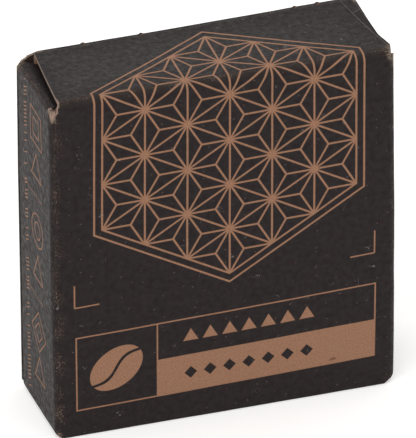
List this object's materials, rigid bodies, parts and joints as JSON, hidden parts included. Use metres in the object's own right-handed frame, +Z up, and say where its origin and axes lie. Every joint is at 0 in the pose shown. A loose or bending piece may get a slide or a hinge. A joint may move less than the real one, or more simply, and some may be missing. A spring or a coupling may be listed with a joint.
{
  "type": "folding carton",
  "caption": "Upright reverse tuck folding carton of black-printed kraft board, with a lid that lifts from the front crease and a bottom flap that opens the other way.",
  "frame": {"origin": "middle of the base, on the surface that the carton stands on", "axes": "+Z up along the carton's height, +X across the front to the right as seen from the front, +Y from the front wall to the back wall"},
  "size_m": [0.074, 0.024, 0.079],
  "materials": {
    "printed_board": "matte black print on brown kraft board"
  },
  "bodies": {
    "carton": {"carton_body": "printed_board"},
    "lid": {"lid_flap": "printed_board"},
    "bottom": {"bottom_flap": "printed_board"}
  },
  "joints": [
    {"name": "lid_fold", "type": "hinge", "parent": "carton", "child": "lid", "pos_m": [0, -0.01147, 0.07847], "axis": [1, 0, 0], "range_deg": [0, 180]},
    {"name": "bottom_fold", "type": "hinge", "parent": "carton", "child": "bottom", "pos_m": [0, 0.01147, 0.00053], "axis": [1, 0, 0], "range_deg": [0, 180]}
  ]
}
